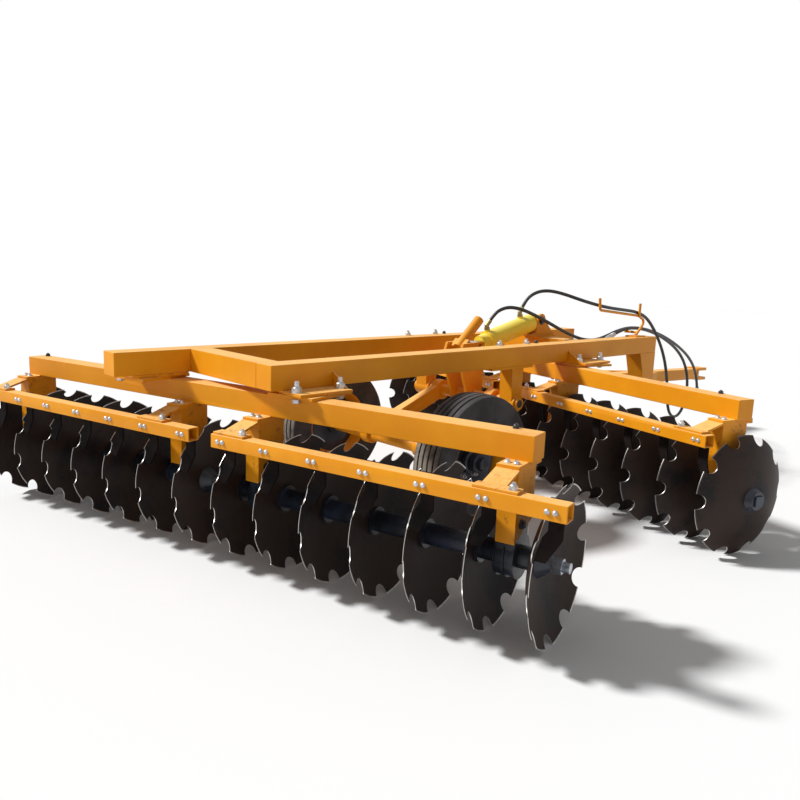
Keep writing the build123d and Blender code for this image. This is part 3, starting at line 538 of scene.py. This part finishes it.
def hoseMesh(name, points, depth):
    data = bpy.data.curves.new(name, "CURVE")
    data.dimensions = "3D"
    data.resolution_u, data.bevel_depth, data.bevel_resolution = hoseDetail["steps"], depth, hoseDetail["sides"]
    data.use_fill_caps = depth > 0
    spline = data.splines.new("NURBS")
    spline.points.add(len(points) - 1)
    for point, place in zip(spline.points, points):
        point.co = (*place, 1)
    spline.order_u = hoseDetail["order"]
    spline.use_endpoint_u = True
    curve = bpy.data.objects.new(name + "_curve", data)
    scene.collection.objects.link(curve)
    mesh = bpy.data.meshes.new_from_object(curve.evaluated_get(bpy.context.evaluated_depsgraph_get()))
    bpy.data.objects.remove(curve)
    return mesh


# quick couplers on the far ends, (radius, distance past the hose's end)
couplerShape = (
    (0, -0.034), (0.0150, -0.034), (0.0156, -0.030), (0.0150, -0.006), (0.0122, -0.002), (0.0122, 0.002),
    (0.0165, 0.003), (0.0170, 0.005), (0.0170, 0.026), (0.0165, 0.028), (0.0136, 0.029), (0.0136, 0.033),
    (0.0165, 0.034), (0.0170, 0.036), (0.0170, 0.066), (0.0160, 0.070), (0.0130, 0.0705), (0.0130, 0.098),
    (0.0120, 0.102), (0.0088, 0.103), (0.0084, 0.088), (0, 0.087))

for name, hose in hoses.items():
    points = [origin + Vector(point) for point in hose["points"]]
    line = [vert.co.copy() for vert in hoseMesh(name, points, 0).vertices]
    tube = hoseMesh(name + "_tube", points, hose["diameter"] / 2)
    for face in tube.polygons:
        face.use_smooth = True
    piece = addMesh(name + "_tube", tube, hoseRubber)
    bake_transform(piece)
    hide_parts(name)
    way = (points[-1] - points[-2]).to_track_quat("Z", "Y").to_matrix().to_4x4()
    end = lathePiece(name + "_coupler", [(couplerShape, Matrix.Translation(points[-1]) @ way)],
                     hoseDetail["couplerSegments"], brightZinc, "frame")
    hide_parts("hose_couplers")


# wheels: five tread ribs between four grooves, and a deep rim, in (radius, distance out from the wheel's middle)
tyre = {
    "treadHalf": 0.079, "grooves": (-0.050, -0.0165, 0.0165, 0.050), "grooveWidth": 0.011, "grooveDepth": 0.012,
    "grooveShape": ((-0.5, 0), (-0.32, 1), (0.32, 1), (0.5, 0)),  # shares of its width and depth
    "crown": 0.006, "clearance": 0.0005, "segments": 112,
    "wall": ((0.3515, 0.0838), (0.344, 0.0862), (0.318, 0.0882), (0.288, 0.0885), (0.283, 0.0875), (0.262, 0.0868),
             (0.257, 0.0852), (0.236, 0.0820), (0.224, 0.0785), (0.2145, 0.0735), (0.211, 0.064)),
}
wheelRim = {
    "barrel": ((0.206, 0.058), (0.2135, 0.062), (0.2180, 0.0665), (0.2180, 0.0695), (0.2140, 0.0715),
               (0.2075, 0.0690), (0.2000, 0.060), (0.1930, 0.045), (0.1760, 0.018), (0.1730, 0), (0.1760, -0.018),
               (0.1930, -0.045), (0.2000, -0.060), (0.2075, -0.0690), (0.2140, -0.0715), (0.2180, -0.0695),
               (0.2180, -0.0665), (0.2135, -0.062), (0.206, -0.058), (0.1985, -0.043), (0.1825, -0.016),
               (0.1795, 0), (0.1825, 0.016), (0.1985, 0.043)),
    # the dish and hub are drawn black, which makes the middle of the deep rim dark
    "dish": ((0.178, -0.004), (0.160, -0.010), (0.120, -0.024), (0.090, -0.026), (0.048, -0.026), (0.048, -0.034),
             (0.090, -0.034), (0.122, -0.032), (0.162, -0.018), (0.178, -0.012)),
    "hub": ((0, 0.0885), (0.022, 0.0885), (0.031, 0.0865), (0.034, 0.082), (0.034, 0.056), (0.046, 0.054),
            (0.049, 0.050), (0.050, 0.010), (0.062, 0.006), (0.064, 0.0), (0.064, -0.025), (0.060, -0.030),
            (0.060, -0.056), (0.0265, -0.056), (0.0265, 0.0855), (0, 0.0855)),
    "nuts": 6, "nutCircle": 0.088, "nutSeat": -0.026,
    "nut": {"nutWidth": 0.024, "nutHeight": 0.016, "washerWidth": 0.030, "washerHeight": 0.003,
            "studWidth": 0.014, "studLength": 0.010, "seed": 13},
}


def tyreProfile(look, outer):
    tread = []
    for groove in look["grooves"]:
        for side, depth in look["grooveShape"]:
            across = groove + side * look["grooveWidth"]
            radius = outer - look["crown"] * (across / look["treadHalf"]) ** 2
            tread.append((radius - depth * look["grooveDepth"], across))
    shoulder = outer - look["crown"]
    tread = [(shoulder, -look["treadHalf"])] + tread + [(shoulder, look["treadHalf"])]
    far = list(look["wall"])
    near = [(radius, -side) for radius, side in reversed(far)]
    return near + tread + far


wheelNuts = {}
for side, sign in sides.items():
    hub = Vector(joints["wheel_" + side + "_spin"]["pos_m"])
    outward = outwardAt(hub, sign)
    for label, material, slot, profiles, gone in (
            ("ribbed_tyre_", tyreRubber, "tyre", (tyreProfile(tyre, hub.z - tyre["clearance"]),), "tyre_"),
            ("wheel_rim_", rimPaint, "rim_paint", (wheelRim["barrel"],), "rim_"),
            ("wheel_hub_", blackIron, "black_iron", (wheelRim["dish"], wheelRim["hub"]), None)):
        piece = lathePiece(label + side, [(profile, outward) for profile in profiles], tyre["segments"],
                           material, "wheel_" + side)
        if gone:
            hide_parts(gone + side)
    turns = [2 * math.pi * index / wheelRim["nuts"] for index in range(wheelRim["nuts"])]
    wheelNuts[side] = [
        (outward @ Vector((wheelRim["nutCircle"] * math.cos(turn), wheelRim["nutCircle"] * math.sin(turn),
                           wheelRim["nutSeat"])), outward.to_3x3() @ Vector((0, 0, 1))) for turn in turns]
print("wheels made")


# a node group that puts a bolt at every vertex, standing along its "facing" vector
def fieldGroup(name, inputs):
    group = bpy.data.node_groups.new(name, "GeometryNodeTree")
    for label, kind in {"Geometry": "Geometry", **inputs, "material": "Material"}.items():
        group.interface.new_socket(label, in_out="INPUT", socket_type="NodeSocket" + kind)
    group.interface.new_socket("Geometry", in_out="OUTPUT", socket_type="NodeSocketGeometry")
    tree = Tree(group)
    facing = tree.node("GeometryNodeInputNamedAttribute", {"data_type": "FLOAT_VECTOR"}, {"Name": "facing"})
    stand = tree.node("FunctionNodeAlignRotationToVector", {"axis": "Z"}, {"Vector": facing})
    return tree, tree.node("NodeGroupInput"), stand


def placeField(tree, given, bolt, rotation):
    placed = tree.node("GeometryNodeInstanceOnPoints", {}, {
        "Points": given.at("Geometry"), "Instance": bolt, "Rotation": rotation})
    real = tree.node("GeometryNodeRealizeInstances", {}, {"Geometry": placed})
    coloured = tree.node("GeometryNodeSetMaterial", {}, {"Geometry": real, "Material": given.at("material")})
    tree.node("NodeGroupOutput", {}, {"Geometry": coloured})
    return tree.tree


# nuts with a washer and a stud end; flank is a share of the nut's height, crown and studTip of the widths
nutShape = {"flank": 0.82, "crown": 0.42, "studTip": 0.43,
            "washerSides": 20, "nutSides": 6, "crownSides": 18, "studSides": 12}


def nutTree(shape):
    floats = ("nutWidth", "nutHeight", "washerWidth", "washerHeight", "studWidth", "studLength")
    tree, given, stand = fieldGroup("nutField", {**dict.fromkeys(floats, "Float"), "seed": "Int"})
    nutWidth, nutHeight, studWidth = given.at("nutWidth"), given.at("nutHeight"), given.at("studWidth")
    washerHeight, studLength = given.at("washerHeight"), given.at("studLength")

    def drum(corners, radius, depth, base, top=None):
        made = tree.node("GeometryNodeMeshCone", {"fill_type": "NGON"}, {
            "Vertices": corners, "Radius Bottom": radius, "Radius Top": top or radius, "Depth": depth})
        lift = tree.node("ShaderNodeCombineXYZ", {}, {"Z": base})
        return tree.node("GeometryNodeTransform", {}, {"Geometry": made, "Translation": lift})

    corner = nutWidth * (0.5 / math.cos(math.pi / shape["nutSides"]))
    flank = nutHeight * shape["flank"]
    pieces = [
        drum(shape["washerSides"], given.at("washerWidth") * 0.5, washerHeight, 0.0),
        drum(shape["nutSides"], corner, flank, washerHeight),
        drum(shape["crownSides"], nutWidth * 0.5, nutHeight - flank, washerHeight + flank, nutWidth * shape["crown"]),
        drum(shape["studSides"], studWidth * 0.5, studLength, washerHeight + nutHeight, studWidth * shape["studTip"]),
    ]
    bolt = tree.node("GeometryNodeJoinGeometry", {}, {"Geometry": pieces})
    angle = tree.node("FunctionNodeRandomValue", {"data_type": "FLOAT"},
                      {2: 0.0, 3: 2 * math.pi / shape["nutSides"], "Seed": given.at("seed")}, 1)
    spin = tree.node("FunctionNodeAxisAngleToRotation", {}, {"Axis": (0, 0, 1), "Angle": angle})
    turned = tree.node("FunctionNodeRotateRotation", {"rotation_space": "LOCAL"},
                       {"Rotation": stand, "Rotate By": spin})
    return placeField(tree, given, bolt, turned)


# domed coach bolt heads, the upper part of a ball
domeShape = {"segments": 18, "rings": 10, "cutBelow": -0.02}


def domeTree(shape):
    tree, given, stand = fieldGroup("domeField", {"headWidth": "Float", "headHeight": "Float"})
    ball = tree.node("GeometryNodeMeshUVSphere", {},
                     {"Segments": shape["segments"], "Rings": shape["rings"], "Radius": 1.0})
    height = tree.node("ShaderNodeSeparateXYZ", {}, {0: tree.node("GeometryNodeInputPosition")}).at("Z")
    low = tree.node("FunctionNodeCompare", {"data_type": "FLOAT", "operation": "LESS_THAN"},
                    {0: height, 1: shape["cutBelow"]})
    upper = tree.node("GeometryNodeDeleteGeometry", {"domain": "POINT"}, {"Geometry": ball, "Selection": low})
    radius = given.at("headWidth") * 0.5
    size = tree.node("ShaderNodeCombineXYZ", {}, {"X": radius, "Y": radius, "Z": given.at("headHeight")})
    head = tree.node("GeometryNodeTransform", {}, {"Geometry": upper, "Scale": size})
    smooth = tree.node("GeometryNodeSetShadeSmooth", {}, {"Geometry": head})
    return placeField(tree, given, smooth, stand)


nutField, domeField = nutTree(nutShape), domeTree(domeShape)


def boltPiece(name, group, sizes, material, spots, body):
    points = bpy.data.meshes.new(name + "_points")
    points.from_pydata([spot for spot, _ in spots], [], [])
    facing = points.attributes.new("facing", "FLOAT_VECTOR", "POINT")
    for item, (_, way) in zip(facing.data, spots):
        item.vector = way
    holder = bpy.data.objects.new(name + "_points", points)
    scene.collection.objects.link(holder)
    modifier = holder.modifiers.new("field", "NODES")
    modifier.node_group = group
    keys = {item.name: item.identifier for item in group.interface.items_tree if item.in_out == "INPUT"}
    for label, value in {**sizes, "material": material}.items():
        modifier[keys[label]] = value
    mesh = bpy.data.meshes.new_from_object(holder.evaluated_get(bpy.context.evaluated_depsgraph_get()))
    holder.modifiers.clear()
    bpy.data.objects.remove(holder)
    piece = addMesh(name, mesh, material)
    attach(piece, body)
    print(name, len(spots))


upWay, downWay = Vector((0, 0, 1)), Vector((0, 0, -1))
beamBoxes = {label: solidBoxes(label + "_gang_beam", row)[0] for label, row in rows.items()}
barBoxes = {label: solidBoxes(label + "_scraper_bars", row) for label, row in rows.items()}

for side in wheelNuts:
    boltPiece("wheel_nuts_" + side, nutField, wheelRim["nut"], brightZinc, wheelNuts[side],
              "wheel_" + side)

# coach bolts of the scrapers, two for each blade, on the bars' rear faces
scraperBolts = {"perBar": 7, "pitch": 0.240, "fromEnd": 0.054, "apart": 0.028,
                "head": {"headWidth": 0.021, "headHeight": 0.0095}}
spots = []
for label, row in rows.items():
    backWay = row.to_3x3() @ Vector((-1, 0, 0))
    for low, high in barBoxes[label]:
        for index in range(scraperBolts["perBar"]):
            for side in (-0.5, 0.5):
                y = low.y + scraperBolts["fromEnd"] + index * scraperBolts["pitch"] + side * scraperBolts["apart"]
                spots.append((row @ Vector((low.x, y, (low.z + high.z) / 2)), backWay))
boltPiece("scraper_bolts", domeField, scraperBolts["head"], brightZinc, spots, "frame")

hangerPads = {"edge": 0.060, "rear": 1, "front": -1}  # from a pad's end to the hanger's middle, and the pad's side


# every hanger: its row's label and frame, the side of its pad, and its middle along the row
def hangerStations():
    for label, row in rows.items():
        side = hangerPads[label]
        for low, high in solidBoxes(label + "_hangers", row):
            yield label, row, side, (high.y if side > 0 else low.y) - side * hangerPads["edge"]


# nuts of the hanger pads at the beam, and of the hanger base plates on the bars
padNuts = {"behind": -0.098, "ahead": 0.066, "apart": 0.035, "baseX": -0.270, "baseShift": 0.080, "baseThick": 0.010,
           "nut": {"nutWidth": 0.026, "nutHeight": 0.015, "washerWidth": 0.034, "washerHeight": 0.003,
                   "studWidth": 0.016, "studLength": 0.008, "seed": 3}}
spots = []
for label, row, side, station in hangerStations():
    beamLow, barTop = beamBoxes[label][0].z, barBoxes[label][0][1].z
    for x in (padNuts["behind"], padNuts["ahead"]):
        for shift in (-0.5, 0.5):
            spots.append((row @ Vector((x, station + shift * padNuts["apart"], beamLow)), upWay))
    spots.append((row @ Vector((padNuts["baseX"], station - side * padNuts["baseShift"],
                                barTop + padNuts["baseThick"])), upWay))
boltPiece("hanger_nuts", nutField, padNuts["nut"], brightZinc, spots, "frame")

# big nuts of the clamp plates, beside the rails, with the bolt heads under the lower plates
clampNuts = {"fromEnd": 0.024, "fromMiddle": 0.470,
             "nut": {"nutWidth": 0.038, "nutHeight": 0.021, "washerWidth": 0.048, "washerHeight": 0.004,
                     "studWidth": 0.024, "studLength": 0.024, "seed": 5},
             "head": {"nutWidth": 0.036, "nutHeight": 0.015, "washerWidth": 0.044, "washerHeight": 0.004,
                      "studWidth": 0.030, "studLength": 0.001, "seed": 7}}
spots, heads = [], []
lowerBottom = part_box("clamp_plates_lower")[0].z
for low, high in solidBoxes("clamp_plates_upper"):
    y = middleY + math.copysign(clampNuts["fromMiddle"], (low.y + high.y) / 2 - middleY)
    for x in (low.x + clampNuts["fromEnd"], high.x - clampNuts["fromEnd"]):
        spots.append((Vector((x, y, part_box("right_rail")[0].z)), upWay))
        heads.append((Vector((x, y, lowerBottom)), downWay))
boltPiece("clamp_nuts", nutField, clampNuts["nut"], brightZinc, spots, "frame")
boltPiece("clamp_heads", nutField, clampNuts["head"], brightZinc, heads, "frame")

# nuts on the rails' tops, with a dark stub ahead of each pair
railNuts = {"right": {"fromMiddle": 0.300, "nuts": (1.637, 1.894), "stub": 1.991},
            "left": {"fromMiddle": 0.386, "nuts": (1.566, 1.822), "stub": 1.908},
            "nut": {"nutWidth": 0.030, "nutHeight": 0.016, "washerWidth": 0.038, "washerHeight": 0.003,
                    "studWidth": 0.018, "studLength": 0.012, "seed": 9}}
spots, stubs = [], []
for side, sign in sides.items():
    places, top = railNuts[side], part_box(side + "_rail")[1].z
    y = middleY + sign * places["fromMiddle"]
    spots += [(Vector((origin.x + x, y, top)), upWay) for x in places["nuts"]]
    stubs.append((Vector((origin.x + places["stub"], y, top)), upWay))
boltPiece("rail_nuts", nutField, railNuts["nut"], brightZinc, spots, "frame")

# dark stubs on the beams and rails
beamStubs = {"rear": (-1.428, 1.410), "front": (-1.500, 1.190), "ahead": 0.030,
             "nut": {"nutWidth": 0.021, "nutHeight": 0.012, "washerWidth": 0.026, "washerHeight": 0.002,
                     "studWidth": 0.012, "studLength": 0.004, "seed": 11}}
spots = []
for label, row in rows.items():
    top = beamBoxes[label][1].z
    spots += [(row @ Vector((beamStubs["ahead"], y, top)), upWay) for y in beamStubs[label]]
boltPiece("beam_stubs", nutField, beamStubs["nut"], blackIron, spots + stubs, "frame")

# dark bolts through the cheeks of the hangers
cheekBolts = {"x": -0.070, "z": 0.451, "halfLeg": 0.037,
              "nut": {"nutWidth": 0.030, "nutHeight": 0.013, "washerWidth": 0.036, "washerHeight": 0.003,
                      "studWidth": 0.018, "studLength": 0.003, "seed": 15}}
spots = []
for _, row, _, station in hangerStations():
    for way in (-1, 1):
        spots.append((row @ Vector((cheekBolts["x"], station + way * cheekBolts["halfLeg"], cheekBolts["z"])),
                      row.to_3x3() @ Vector((0, way, 0))))
boltPiece("cheek_bolts", nutField, cheekBolts["nut"], blackIron, spots, "frame")


# both ends of a cross shaft at a joint, facing outward, on the sides of a node's box or drawn in from them
def shaftSides(jointName, nodeName, drawnIn=0.0):
    place, (low, high) = joints[jointName]["pos_m"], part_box(nodeName)
    return [outwardAt((place[0], y, place[2]), sign) for sign, y in ((-1, low.y + drawnIn), (1, high.y - drawnIn))]


# the rock shaft is a tube: a rim on each end, and inside it a black disc that paints the shade of the hollow bore, in
# (radius, distance past the shaft's end)
shaftEnds = {
    "rim": ((0.0240, -0.001), (0.0352, -0.001), (0.0352, 0.002), (0.0345, 0.003), (0.0245, 0.003), (0.0240, 0.002)),
    "bore": ((0, -0.001), (0.0245, -0.001), (0.0245, 0.0006), (0, 0.0006)), "segments": 48,
}
ends = shaftSides("lift_hinge", "rock_shaft")
for label, material, slot in (("rim", orangePaint, "machine_paint"), ("bore", blackIron, "black_iron")):
    lathePiece("shaft_" + label, [(shaftEnds[label], end) for end in ends], shaftEnds["segments"],
               material, "lift")
print("shaft ends made")

# dark caps on the ends of the cylinder's front pin, in (radius, distance out from the bracket's plate)
pinCaps = {
    "shape": ((0, 0.015), (0.015, 0.015), (0.018, 0.014), (0.019, 0.012), (0.019, 0.003), (0.028, 0.003),
              (0.028, 0.0), (0, 0.0)), "fromBase": 0.016, "segments": 40,
}
ends = shaftSides("barrel_swing", "cylinder_bracket", pinCaps["fromBase"])
lathePiece("pin_caps", [(pinCaps["shape"], end) for end in ends], pinCaps["segments"],
           blackIron, "frame")
print("pin caps made")


# studio: pale floor, white background, a soft key from behind the left of the machine
studio = {"floorSize": 60.0, "floorColour": (0.80, 0.80, 0.80, 1), "floorRoughness": 0.9, "floorSpecular": 0.1,
          "background": (1, 1, 1, 1), "sky": 0.32, "gleam": 0.35,
          "keyStrength": 4.2, "keyFrom": (-0.44, 0.56, 0.70), "keyAngle": 8}


def makeStudio(look):
    half = look["floorSize"] / 2
    mesh = bpy.data.meshes.new("floor")
    mesh.from_pydata([(-half, -half, 0), (half, -half, 0), (half, half, 0), (-half, half, 0)], [], [(0, 1, 2, 3)])
    finish = Finish("floor")
    finish.put(Base_Color=look["floorColour"], Roughness=look["floorRoughness"],
               Specular_IOR_Level=look["floorSpecular"])
    floor = addMesh("floor", mesh, finish.material)

    world = bpy.data.worlds.new("studio")
    scene.world = world
    world.use_nodes = True
    tree = Tree(world.node_tree)
    path = tree.node("ShaderNodeLightPath")
    strength = path.at("Is Camera Ray") * (1 - look["sky"]) + path.at("Is Glossy Ray") * look["gleam"] + look["sky"]
    background = world.node_tree.nodes["Background"]
    background.inputs["Color"].default_value = look["background"]
    world.node_tree.links.new(strength.socket, background.inputs["Strength"])

    lamp = bpy.data.lights.new("key", "SUN")
    lamp.energy, lamp.angle = look["keyStrength"], math.radians(look["keyAngle"])
    key = bpy.data.objects.new("key", lamp)
    scene.collection.objects.link(key)
    key.rotation_euler = Vector(look["keyFrom"]).to_track_quat("Z", "Y").to_euler()
    scene.view_settings.view_transform = "Standard"


makeStudio(studio)
print("studio set")
